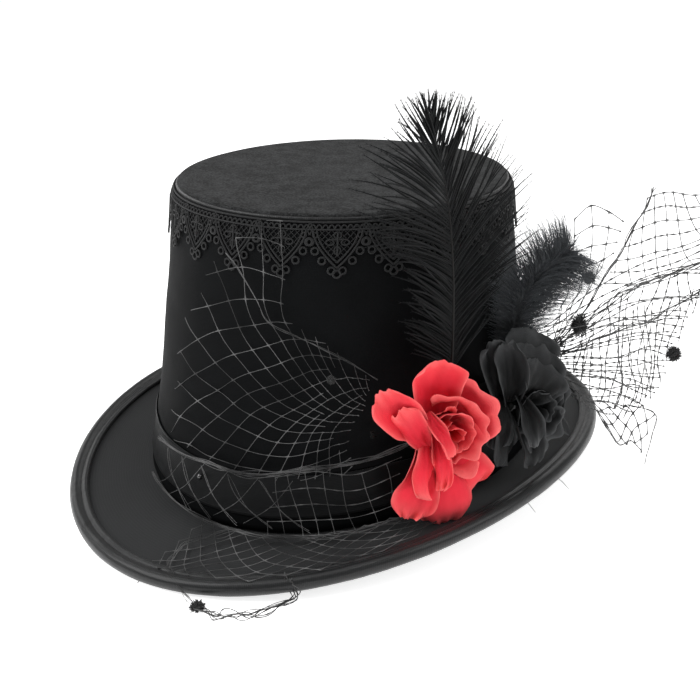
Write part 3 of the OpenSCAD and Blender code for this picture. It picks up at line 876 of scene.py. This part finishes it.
# A petal's row is base, tip, half width, bulge, cup and ruffle, then any roll, twist and fold.
# A wrapped petal's row is turn, sweep, radius, height, flare and ruffle.
# The first colour is painted shade at the petals' base, the third a painted highlight on their curled
# rims.
red_cloth = petal_cloth("red_petal_cloth", (0.5, 0.010, 0.022, 1), (0.95, 0.028, 0.056, 1),
                        (1.0, 0.2, 0.19, 1), 0.55, 0.06)
red_axes = flower_frame(-34, 6, off_wall(-29.2, 41, PAD_OUT + LAY + 0.5))
flower("red", red_axes, (6.5, 2.7), red_cloth, {
    "outer": [((1, 3, 9), (1.5, 35, 15), 14, 0, 1.0, 2, 4),
              ((-4, 0, 11), (-22, 24, 15), 10, 4, 0.6, 2, 0, 0.3, 0.2),
              ((-3, -4, 15), (-17, 16, 22), 7, 3, -0.8, 2.5, 0, 0.5),
              ((-3, -2, 11), (-12, -33, 15), 9.5, 5, -0.4, 3.5, 0, -0.3),
              ((3, -3, 10), (6, -39, 15), 13.5, 5, -0.6, 3.5, -2),
              ((4, -2, 8), (17, -27, 12), 13, 5, 0.4, 3)],
    "middle": [(8, 165, 18.5, 16, 3, 2.5),
               (-58, 150, 17, 18, 2.5, 2.5),
               ((-2, 5, 12), (-7, -24, 17), 6, 5, -0.5, 4, 0, 0.9)],
    "inner": [(25, 190, 13, 20, 2, 2.5),
              (-70, 160, 12, 21, 1.8, 2.5),
              (120, 120, 9.5, 19, 1.5, 2),
              ((-1, 7, 16), (1, -20, 21), 4.6, 4, -0.6, 3, 0, -0.9),
              ((-4, 13, 18), (3, -5, 25), 4.6, 3, 0.7, 2, 0, 0.7)],
    "bud": [(80, 200, 8.5, 22.5, 1.2, 1),
            (-60, 200, 7, 23, 1, 1),
            (190, 210, 5, 23.5, 0.8, 0.8),
            (40, 260, 3, 24, 0.5, 0.6)]})
# The first colour is painted shade at the petals' base, the third a painted highlight on their curled
# rims.
black_cloth = petal_cloth("black_petal_cloth", grey(0.0015, 0.12), grey(0.009, 0.1), grey(0.08, 0.06),
                          0.55, 0.03)
black_axes = flower_frame(-28, 8, off_wall(-2, 42, PAD_OUT + LAY + 1.2))
flower("black", black_axes, (7, -3), black_cloth, {
    "outer": [((-6, 0, 9), (-14, 31, 14), 9.5, 3, 1.0, 2.5, 3),
              ((-4, 1, 12), (-6, 30, 18), 8, 3, 0.5, 3, 0, 0.6, 0.3),
              ((4, 3, 8), (11, 30, 11), 14, 3, 0.4, 3.5, -5),
              ((4, 0, 8), (23, 9, 10), 13, 3, 0.4, 3.5, -3),
              ((4, -2, 9), (17, -20, 11), 13, 5, 0.6, 3.5),
              ((0, -4, 10), (7, -30, 13), 8, 4, 0.3, 3.5, 0, 0, 0.3),
              ((-6, 0, 12), (-8, -27, 14), 6, 4, -0.5, 3.5, 0, 0.9)],
    "middle": [((3, 2, 11), (12, 24, 16), 14, 3, 0.5, 3.5, -5),
               ((4, 1, 14), (13, 17, 20), 12.5, 3, 0.6, 3, -4),
               (-25, 170, 16, 17, 2.5, 2.5),
               ((-7, 4, 12), (-12, -18, 15), 5.5, 4, -0.5, 3.5, 0, -0.8)],
    "inner": [(60, 150, 12, 20, 2, 2.5),
              (-50, 170, 11, 19, 1.8, 2),
              ((-1, 5, 16), (3, -18, 21), 6, 4, 0.3, 3.5, 0, 0, 0.3)],
    "bud": [(120, 190, 8, 21, 1.2, 1),
            (0, 200, 6.5, 22, 1, 1),
            (-120, 220, 4.5, 22.5, 0.8, 0.8)]})


def flower_cup(colour, axes):
    """The moulded cup and stem behind the petals."""
    def place(across, along):
        radius = mix(3.4, 6.4, along) + 0.4 * cos(10 * pi * across) * along
        return axes @ ring(360 * across, radius, radius, 0.3 + 4.6 * along)

    def stem_place(across, along):
        return axes @ ring(360 * across, 1.15, 1.15, 0.6 + 14.5 * along)
    layer(colour + "_cup", 30, 8, place, (30, 5), 0.8, "stem_plastic", stem_moulded,
          colour + "_rose_cup")
    fit(cloth(colour + "_cup_stem", 12, 8, stem_place, (7, 15)), "stem_plastic", stem_moulded)


stem_moulded = mottled("stem_moulded", 4, 3, (0.004, 0.007, 0.005, 1), (0.008, 0.013, 0.009, 1),
                       0.15, 0.45, 0.08, Specular_IOR_Level=0.4)
flower_cup("red", red_axes)
flower_cup("black", black_axes)

LEAF_A = 11
leaf_root = off_wall(LEAF_A, 24, PAD_OUT + LAY)
leaf_tip = off_brim(17, 0.76, BRIM_T / 2 + 1.5)


def leaf_shape(side, along):
    width = 10 * sin(pi * min(1, 0.06 + along * 0.9)) ** 0.8
    hump = 4 * sin(pi * along) + 1.5 * abs(side) * along + ripple((side * 4.5, along * 20, 0), 5, 0.8)
    return mix(leaf_root, leaf_tip, along) + width * side * ring(LEAF_A + 90) + UP * hump


leaf_mesh = petal_mesh()
petal_sheet(leaf_mesh, Matrix.Identity(4), (20, 30), leaf_shape, 16, 22)
leaf = built("leaf_blade", leaf_mesh)
thicken(leaf, 0.4, offset=0.0, smooth=1, even=False)
fit(leaf, "black_petal", black_cloth, "black_leaf")

# ---------------------------------------------------------------- ostrich plume
# The plume stands on edge behind the red rose. A thin shaft carries long barbs on both sides, and
# every barb is fringed with fine barbules that make it look like a soft spike.
PLUME_AZ = -20
PLUME_L = 148
QUILL_D = 2.4
plume_out = ring(PLUME_AZ)
plume_side = ring(PLUME_AZ + 90)
plume_foot = off_wall(-22, 32, PAD_OUT + LAY + QUILL_D / 2)


def plume_line(k):
    return (plume_foot + 4 * (1 - (1 - k) ** 3) * plume_out - 20 * k ** 4 * plume_side
            + UP * PLUME_L * k)


def shaft(name, line, radius, last, node):
    """A tapered feather shaft along a line."""
    strand = [(line(last * k / 24), 1 - 0.8 * k / 24) for k in range(25)]
    fit(threads(name, [strand], radius, 3), "quill", quill_horn, node)


quill_horn = mottled("quill_horn", 3, 4, (0.004, 0.004, 0.004, 1), (0.012, 0.011, 0.010, 1),
                     0.2, 0.3, 0.05, Specular_IOR_Level=0.15)
plume_barb = mottled("plume_barb", 5, 3, grey(0.0025, 0.2), grey(0.008, 0.2), 0.2, 0.5,
                     Specular_IOR_Level=0.2)
shaft("plume_shaft", plume_line, QUILL_D * 0.33, 0.93, "plume_quill")


def between(stops, k):
    """The value at k on straight lines between (place, value) stops."""
    for (near, low), (far, high) in zip(stops, stops[1:]):
        if k <= far:
            return mix(low, high, max(0, k - near) / (far - near))
    return stops[-1][1]


# How long the barbs are and how widely they stand open, by their place on the shaft.
FRONT_LENGTH = [(0.2, 25), (0.45, 34), (0.56, 47), (0.62, 46), (0.7, 44), (0.76, 37), (0.83, 26),
                (0.9, 13), (1, 5)]
FRONT_ANGLE = [(0.2, 54), (0.45, 54), (0.56, 70), (0.62, 62), (0.7, 54), (0.76, 45), (0.83, 31),
               (0.9, 20), (1, 6)]
REAR_LENGTH = [(0.2, 26), (0.42, 46), (0.54, 50), (0.61, 44), (0.67, 40), (0.75, 33), (0.83, 23),
               (0.9, 13), (1, 5)]
REAR_ANGLE = [(0.2, 36), (0.42, 54), (0.5, 46), (0.55, 35), (0.61, 28), (0.67, 23), (0.75, 18),
              (0.83, 15), (0.9, 13), (1, 8)]
BARB_TAPER = [(0, 0.5), (0.3, 1.0), (0.75, 0.75), (1, 0.12)]


def barb_path(chance, k, side):
    """One barb: its points from the shaft to its tip."""
    length = between(REAR_LENGTH if side > 0 else FRONT_LENGTH, k) * chance.uniform(0.8, 1.04)
    opening = between(REAR_ANGLE if side > 0 else FRONT_ANGLE, k) + chance.uniform(-5, 5)
    curl = chance.uniform(-0.14, 0.1)
    forward = chance.uniform(-0.14, 0.2)
    spots = []
    for step in range(11):
        t = step / 10
        angle = radians(opening) * (0.8 + 0.2 * t) + curl * (t * t - 0.3)
        way = plume_side * side * sin(angle) + UP * cos(angle) + plume_out * forward
        spots.append(plume_line(k) + way * length * t)
    return spots


def fringe(spots, chance, spacing, reach, slant):
    """Short barbules on both sides of a barb."""
    hairs = []
    for first, second in zip(spots, spots[1:]):
        run = second - first
        across = run.cross(plume_out).normalized()
        count = max(1, round(run.length / spacing))
        for number in range(count):
            start = first + run * ((number + chance.random()) / count)
            for side in (-1, 1):
                tip = (across * side + run.normalized() * slant
                       + plume_out * chance.uniform(-0.6, 0.6)) * reach * chance.uniform(0.6, 1.15)
                hairs.append([(start, 1.0), (start + tip, 0.35)])
    return hairs


def plume_part(name, first, last, count, seed, *nodes):
    chance = random.Random(seed)
    barbs = []
    hairs = []
    for number in range(count):
        k = mix(first, last, (number + chance.random()) / count)
        for side in (-1, 1):
            spots = barb_path(chance, k, side)
            barbs.append([(spot, between(BARB_TAPER, n / 10)) for n, spot in enumerate(spots)])
            hairs += fringe(spots, chance, 1.3, 0.55, 2.2)
    fit(threads(name, barbs, 0.42), "plume_barbs", plume_barb, *nodes)
    fit(threads(name + "_fringe", hairs, 0.08), "plume_barbs", plume_barb)


plume_part("plume_low", 0.22, 0.58, 62, 11, "plume_vane")
plume_part("plume_high", 0.58, 0.935, 58, 12)

# ---------------------------------------------------------------- marabou feather
# A short feather of loose down leans out behind the black rose, thick and dark in the middle
# and wispy at its rim.
fluff_foot = off_wall(4, 50, PAD_OUT + LAY + 0.8)
fluff_tip = Vector((106, 24, 106))


def fluff_line(k):
    return mix(fluff_foot, fluff_tip, k) + Vector((-6, -5, 6)) * sin(pi * k)


def fluff_part(name, seed, long, count, radius, *nodes):
    """Fibres that leave the shaft all round, lean towards its tip and bend loosely."""
    chance = random.Random(seed)
    down = []
    for number in range(count):
        k = mix(0.04, 0.93, chance.random() ** 0.85)
        along = (fluff_line(k + 0.01) - fluff_line(k)).normalized()
        spin = chance.uniform(0, 2 * pi)
        side = along.cross(Vector((0.5, -0.8, 0.1))).normalized()
        away = side * cos(spin) + side.cross(along) * sin(spin) * 0.6
        length = (13 + 8 * sin(pi * k) ** 0.7) * long * chance.uniform(0.4, 1.1)
        bend = Vector((chance.uniform(-1, 1), chance.uniform(-1, 1), chance.uniform(-1, 0.6)))
        strand = []
        for step in range(5):
            t = step / 4
            way = away * (0.85 * t + 0.1 * t * t) + along * t * (0.8 - 0.3 * t)
            strand.append((fluff_line(k) + way * length + bend * 2.6 * t * t, 1 - 0.7 * t))
        down.append(strand)
    fit(threads(name, down, radius), "fluff_down", marabou_down, *nodes)


shaft("fluff_shaft", fluff_line, 0.8, 0.9, "fluff_quill")
marabou_down = mottled("marabou_down", 6, 3, grey(0.035, 0.2), grey(0.1, 0.2), 0.2, 0.6,
                       Sheen_Weight=0.1, Specular_IOR_Level=0.3)
fluff_part("fluff_down", 21, 1.0, 4400, 0.12, "fluff_vane")
fluff_part("fluff_wisps", 22, 1.4, 1500, 0.07)

# ---------------------------------------------------------------- front veil
# Diamond netting is gathered beside the red rose, drawn over the front of the crown and out over
# the brim, and cut off raggedly. It is knotted from thin shiny thread.
VEIL_FRONT = -51.6
VEIL_HUB = 19.3
VEIL_RADIUS = 90
VEIL_IN = PAD_OUT + LAY
STEEP_GAP = 7.7
FLAT_GAP = 10.3
KNOT = 2.4
NET_T = 0.8
NET_R = 0.125


def pressed(x, y, out):
    """A point of netting that was spread flat in front of the hat, x across and y up from its
    hub, and then laid round the wall."""
    turn = degrees(asin(clamp((x + VEIL_HUB) / 83, -0.99, 0.99)))
    z = 55 + 1.083 * y - 38 * (0.977 - cos(radians(turn)))
    return off_wall(VEIL_FRONT + turn, min(z, CROWN_H - 2), out)


def wander(spot, size, seed):
    """The point, moved by a small shift that varies smoothly, so no two cells are alike."""
    return spot + Vector([noise.noise(spot / 26 + Vector((seed, axis * 7, 0)))
                          for axis in range(3)]) * size


def drawn(cell, count, every):
    """The strands of one thread of net: cell(k) gives each of its points and whether the point
    is kept, and there is a knot at every so many points."""
    strands = [[]]
    for k in range(count):
        spot, kept = cell(k)
        if kept:
            strands[-1].append((spot, KNOT if k % every == 0 else 1.0))
        elif strands[-1]:
            strands.append([])
    return [strand for strand in strands if len(strand) > 2]


def fan_cell(steep, flat, least):
    """Where two threads cross. Cells grow with their distance from the hub, so both families of
    thread are spirals round it; least is how near the hub a thread can be followed."""
    reach = exp((flat - steep) / 76)
    heading = radians((flat + steep) / 2)
    kept = (least < reach < VEIL_RADIUS + 3 * uneven(steep / 3, flat / 9)
            and steep < -108 + 1.8 * max(0, 186 - flat))
    out = VEIL_IN - 1.5 + 1.4 * uneven(steep / 12, flat / 12, 3)
    spot = pressed(-reach * cos(heading), reach * sin(heading), out)
    return wander(spot, 3.2, 3), kept and spot.z > 23 + 3 * uneven(steep / 9, 0, 5)


def flow(stops, t):
    """A point on the smooth line through the stops."""
    where = t * (len(stops) - 1)
    first = min(int(where), len(stops) - 2)
    f = where - first
    a = Vector(stops[max(first - 1, 0)])
    b = Vector(stops[first])
    c = Vector(stops[first + 1])
    d = Vector(stops[min(first + 2, len(stops) - 1)])
    return 0.5 * (2 * b + (c - a) * f + (2 * a - 5 * b + 4 * c - d) * f * f
                  + (3 * b - a - 3 * c + d) * f ** 3)


def wall_spot(stop):
    return off_wall(*stop)


def brim_spot(stop):
    return off_brim(stop[0], stop[1], BRIM_T / 2 + stop[2])


def bundle(stops, place, count, spread, seed, loose=1.0):
    """Threads that are drawn together and run side by side, crossing now and then."""
    strands = []
    for number in range(count):
        strand = []
        for k in range(49):
            t = k / 48
            drift = Vector([uneven(t * 5 * loose + number * 3.1, seed, axis * 9.0)
                            for axis in range(3)])
            strand.append((place(flow(stops, t)) + drift * spread,
                           1.6 if (k + number * 3) % 7 == 0 else 0.9))
        strands.append(strand)
    return strands


def web(top, bottom, place, columns, rows, seed, slant=None):
    """Netting between two smooth lines, as diamonds or, where it is pulled, as squares whose
    upright threads slant."""
    def cell(u, v):
        spot = place(mix(flow(top, clamp(u)), flow(bottom, clamp(u)), v))
        return wander(spot, 3.0, seed), 0 <= u <= 1
    strands = []
    for start in range(-rows, columns + rows + 1):
        for way in ((-1, 1) if slant is None else (slant,)):
            strands += drawn(lambda k: cell((start + way * k / 6) / columns, k / (6 * rows)),
                             6 * rows + 1, 3 if slant is None else 6)
    if slant is not None:
        for row in range(rows + 1):
            strands += drawn(lambda k: cell(k / (4 * columns), row / rows), 4 * columns + 1, 4)
    return strands


front_threads = []
for number in range(-9, 23):
    front_threads += drawn(lambda k: fan_cell(-110 - STEEP_GAP * number, 226 - FLAT_GAP * k / 6,
                                              24 if number % 2 else 8), 98, 6)
for number in range(16):
    front_threads += drawn(lambda k: fan_cell(-40 - STEEP_GAP * (k / 6 + 0.09), 226 - FLAT_GAP * number,
                                              26 if number % 2 else 10), 186, 6)

# Below the fan the net is bunched along the ribbon, falls on the brim, and doubles back on
# itself so that a square corner of it lies over the ribbon beside the red rose.
BUNCH = [(-112, 21, 3.4), (-90, 24, 4.4), (-76, 24, 5.2), (-60, 28, 6), (-43, 32, 6), (-30, 37, 6)]
FALL = [(-87, 0.08, 2), (-74, 0.15, 2.4), (-60, 0.2, 2.6), (-47, 0.18, 3), (-33, 0.12, 3.4)]
HEM = [(-86, 0.8, 2), (-78, 0.97, 2.2), (-66, 0.99, 2.2), (-52, 0.95, 2.2), (-40, 0.86, 2.4),
       (-27, 0.6, 3)]
FALL_WALL = [(-112, 5, 5), (-83, 1, 7), (-61, 1, 8), (-48, 2, 8), (-36, 6, 8)]
FOLD_TOP = [(-66, 25, 7), (-57, 28, 7.5), (-47, 29, 8.5), (-36, 31, 8.5)]
FOLD_BOTTOM = [(-68, 2, 9), (-59, 3, 9.5), (-50, 4, 9.5), (-39, 6, 9)]
NET_EDGE = [(-85, 112.7, 5), (-80.7, 107.3, 5), (-74.4, 95.6, 4.8), (-71, 88, 4.6), (-63, 82.8, 4.4),
            (-55.8, 77.9, 4.4), (-48.2, 71.9, 4.6), (-41, 64, 5)]
hem_middle = off_brim(-73, 1, -2) + Vector((6, -4, -2))
hem_loop = [hem_middle, Vector((50, -146, -6)), Vector((57, -142, -6)), Vector((63, -134, -6)),
            Vector((69, -120, -5)), off_brim(-55, 1, 3)]
hem_rise = [hem_middle, off_brim(-80, 0.9, 5), off_brim(-82, 0.5, 5), off_brim(-74, 0.15, 6)]
front_threads += bundle(BUNCH, wall_spot, 9, 2.6, 11)
front_threads += bundle(FALL_WALL, wall_spot, 6, 2.2, 15)
for a in (-104, -97, -89, -80, -71):
    front_threads += bundle([(a, 22, 4.5), (a + 5, 13, 6), (a + 14, 3, 7)], wall_spot, 2, 1.6, a, 0.3)
    front_threads += bundle([(a + 9, 23, 4.5), (a + 4, 12, 6), (a - 3, 4, 6)], wall_spot, 1, 1.6,
                            a + 2, 0.3)
front_threads += web(FOLD_TOP, FOLD_BOTTOM, wall_spot, 7, 4, 31, 0.35)
front_threads += web(FALL, HEM, brim_spot, 11, 4, 41)
front_threads += bundle(NET_EDGE, wall_spot, 3, 1.4, 71, 0.6)
front_threads += [[(spot, 1.5 * share) for spot, share in strand]
                  for strand in bundle(hem_loop, Vector, 8, 4.2, 51)]
front_threads += bundle(hem_rise, Vector, 4, 2.4, 61)

net = Finish("net_thread", Specular_IOR_Level=0.45)
net_tone = net.spread(net.cloud(22, 2), 0.36, 0.6)
net_thread = net.show(net.blend(net_tone, grey(0.014), grey(0.12)), roughness=net.cloud(3) * 0.2 + 0.35)
fit(threads("front_netting", front_threads, NET_R), "netting", net_thread, "front_veil")

tack_turns = [(middle_of("veil_tack") + Vector((cos(t * 1.1) * 1.1 * sin(t * 0.17 + 0.3),
                                                sin(t * 1.1) * 1.1, cos(t * 0.43) * 1.1)), 1.0)
              for t in range(60)]
fit(threads("veil_tack_thread", [tack_turns], 0.3, 1), "thread", pad_felt, "veil_tack")

# ---------------------------------------------------------------- side veil
# A second piece of the same netting fans out behind the black rose, stands stiffly past the
# brim, and carries fuzzy chenille dots.
fan_side = Vector((0.72, 0.69, 0)).normalized()
fan_face = Vector((0.69, -0.72, 0)).normalized()
fan_eye = off_wall(17, 50, PAD_OUT + LAY) + 7 * fan_side + 9 * fan_face + UP * 6


def fan_spot(stop):
    """A point x out along the fan, z up from its eye, and off its face."""
    return fan_eye + stop[0] * fan_side + stop[1] * UP + stop[2] * fan_face


def on_fold(x, z, fold):
    """A point of one of the two layers of the folded net, which waves gently."""
    return wander(fan_spot((x, z, fold + 3 * sin(x / 11 + z / 18))), 2.4, 71 + fold)


# It was gathered where it is sewn on. The lower part is folded double: its threads fan out from
# the gathered end, with others across them.
FAN_RIM = [(-50, 38), (-42, 50), (-32, 54), (-24, 57), (-11, 59), (0, 61), (12, 64), (19, 73),
           (25, 84), (40, 86)]
side_threads = []
for fold, count, top, low in ((0, 17, 34, -49), (4, 13, 24, -44)):
    for rib in range(count):
        share = rib / (count - 1)
        heading = mix(top, low, share) + 3 * uneven(rib * 1.7, fold, 2)
        root = Vector((mix(-2, 13, share), mix(13, -25, share), 0))
        tip = ring(heading) * between(FAN_RIM, heading)

        def rib_cell(k):
            t = k / 56
            sag = sin(pi * t) * (7 * uneven(rib / 2.2, fold, t * 2) + 4 * (1 - share))
            x, z = mix(root, tip, t).xy
            return on_fold(x, z + sag, fold), True
        side_threads += drawn(rib_cell, 57, 4)
    for post in range(12):
        def post_cell(k):
            z = mix(-36, 34, k / 60)
            x = 8 + 5.1 * post + 1.3 * fold + 5 * uneven(post / 2, z / 22, fold)
            heading = degrees(atan2(z, x))
            inside = low < heading < top and sqrt(x * x + z * z) < between(FAN_RIM, heading) + 0.5
            return on_fold(x, z, fold), inside
        side_threads += drawn(post_cell, 61, 4)

# The upper part stands open with nearly upright threads, a loose flap stands beside it, the folds
# show as threads drawn together, and a torn tail hangs below.
side_threads += web([(40, 66, 0), (50, 70, 1), (64, 69, 0), (86, 73, 0)],
                    [(24, 29, 3), (41, 31, 4), (58, 34, 3), (84, 46, 2)], fan_spot, 8, 6, 87, 0.5)
side_threads += web([(9, 59, 0), (16, 65, 0), (24, 62, 0), (31, 57, 0)],
                    [(9, 36, 1), (16, 38, 1), (23, 40, 1), (29, 43, 1)], fan_spot, 3, 3, 89, 0.05)
side_threads += web([(24, -28, 3), (34, -31, 3), (44, -29, 2), (54, -36, 1)],
                    [(29, -38, 2), (38, -50, 1), (45, -50, 0), (51, -58, 0)], fan_spot, 4, 2, 93)
for x, z in ((10, 38), (17, 39), (24, 41)):
    side_threads += bundle([(2, 2, 4), (0.55 * x, 0.5 * z, 3), (x, z, 1)], fan_spot, 2, 2.5, 91 + x)
for stops, count, spread, seed in (
        ([(2, 2, 4), (14, 15, 3), (23, 31, 2), (31, 43, 1), (33, 50, 1), (40, 62, 0), (43, 71, 0)],
         5, 2.6, 81),
        ([(0, 0, 5), (12, 8, 4), (27, 21, 4), (41, 30, 5), (59, 35, 3), (78, 40, 2)], 7, 4.0, 83),
        ([(0, -4, 5), (17, 3, 4), (43, 11, 4), (60, 21, 5), (76, 29, 2)], 6, 4.0, 85),
        ([(22, -27, 3), (29, -38, 2), (38, -51, 1), (44, -50, 0), (50, -56, 0)], 2, 1.2, 95),
        ([(40, -30, 2), (54, -36, 1), (54, -48, 0), (52, -63, 0)], 2, 1.2, 97)):
    side_threads += bundle(stops, fan_spot, count, spread, seed)
fit(threads("side_netting", side_threads, 1.5 * NET_R), "netting", net_thread, "side_veil")

# Chenille dots are short tufts of black fibre bound on the net.
DOT_D = 6.4
SMALL_DOT_R = 1.76


def fuzzy_dot(middle, radius, stretch=1.0):
    """Fibres that start near the middle of a dot and stand out all round."""
    fibres = []
    for number in range(420):
        ray = Vector((chance.gauss(0, 1), chance.gauss(0, 1), chance.gauss(0, 1))).normalized()
        ray += UP * ray.z * (stretch - 1)
        reach = radius * chance.uniform(0.75, 1.15)
        bend = Vector((chance.uniform(-1, 1), chance.uniform(-1, 1), chance.uniform(-1, 1)))
        fibres.append([(middle + ray * reach * 0.1, 2.2), (middle + ray * reach * 0.7, 1.6),
                       (middle + ray * reach + bend * 0.12 * radius, 0.6)])
    return fibres


def fan_dot(reach, direction, size, stretch=1.0):
    """A dot on the face of the fan, reach out from its eye in a direction."""
    wave = 4 * sin(radians(direction * 4)) * reach / 82
    x, z = ring(direction, reach, reach).xy
    return fuzzy_dot(fan_spot((x, z, NET_T + LAY + DOT_D / 2 + wave)), size * DOT_D / 2, stretch)


chance = random.Random(31)
chenille_fuzz = mottled("chenille_fuzz", 1, 3, grey(0.004), grey(0.014), 0.1, 0.8, Sheen_Weight=0.3)
small_dot = off_wall(-53, 66, VEIL_IN + NET_T + LAY + SMALL_DOT_R)
front_fuzz = fuzzy_dot(hem_middle, DOT_D / 2) + fuzzy_dot(small_dot, SMALL_DOT_R)
fit(threads("front_chenille", front_fuzz, 0.13), "chenille", chenille_fuzz, "front_dots")
side_fuzz = fan_dot(59, -5, 1.1) + fan_dot(37, 63, 0.9) + fan_dot(18, 42, 1.2, 1.4)
fit(threads("side_chenille", side_fuzz, 0.13), "chenille", chenille_fuzz, "side_dots")
